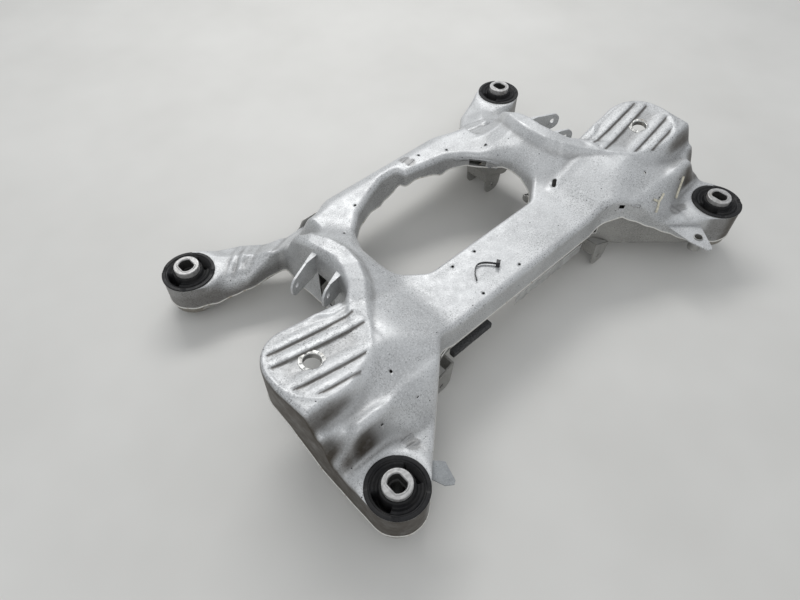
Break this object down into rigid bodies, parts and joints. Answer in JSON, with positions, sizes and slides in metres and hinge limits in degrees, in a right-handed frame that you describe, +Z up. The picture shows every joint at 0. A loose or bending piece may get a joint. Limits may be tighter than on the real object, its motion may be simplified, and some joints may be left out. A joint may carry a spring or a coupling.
{
  "type": "front subframe",
  "caption": "Welded pressed-steel subframe with crossbeam, ribbed domes, arched rear member, rubber body bushes and ears for suspension links",
  "frame": {"origin": "middle of the bounding box in plan, on the floor under the lower brackets", "axes": "+X across the car along the crossbeam, +Y from the open front legs to the arched rear member, +Z up"},
  "size_m": [1.2436, 0.8604, 0.2659],
  "materials": {
    "coated_steel": "matt light grey coating with fine dark speckle and road dust",
    "bare_steel": "dull zinc-plated steel, lightly stained",
    "bush_alloy": "cast and turned light alloy, dulled",
    "bush_rubber": "matt black rubber, dusty",
    "black_plastic": "moulded black plastic",
    "black_foam": "closed-cell black foam",
    "foil": "crumpled bright foil"
  },
  "bodies": {
    "root": {"upper_shell": "coated_steel", "front_lower_shell": "coated_steel", "rear_lower_shell": "coated_steel", "right_dome_collar": "bare_steel", "right_pocket_gusset": "coated_steel", "right_front_bush_housing": "coated_steel", "right_front_bush_ring": "bush_rubber", "right_front_bush_rubber": "bush_rubber", "right_front_bush_sleeve": "bush_alloy", "right_front_link_ear": "coated_steel", "right_front_lower_bracket": "coated_steel", "right_rear_bush_housing": "coated_steel", "right_rear_bush_ring": "bush_rubber", "right_rear_bush_rubber": "bush_rubber", "right_rear_bush_sleeve": "bush_alloy", "right_rear_link_ear": "coated_steel", "right_rear_lower_bracket": "coated_steel", "left_dome_collar": "bare_steel", "left_pocket_gusset": "coated_steel", "left_front_bush_housing": "coated_steel", "left_front_bush_ring": "bush_rubber", "left_front_bush_rubber": "bush_rubber", "left_front_bush_sleeve": "bush_alloy", "left_front_link_ear": "coated_steel", "left_front_lower_bracket": "coated_steel", "left_rear_bush_housing": "coated_steel", "left_rear_bush_ring": "bush_rubber", "left_rear_bush_rubber": "bush_rubber", "left_rear_bush_sleeve": "bush_alloy", "left_rear_link_ear": "coated_steel", "left_rear_lower_bracket": "coated_steel", "left_bracket_plate": "coated_steel", "right_bracket_plate": "coated_steel", "right_bracket_tube": "bare_steel", "cable_clips": "bare_steel", "cable_tie": "black_plastic", "beam_foam_strip": "black_foam", "beam_heat_shield": "foil"}
  },
  "joints": []
}
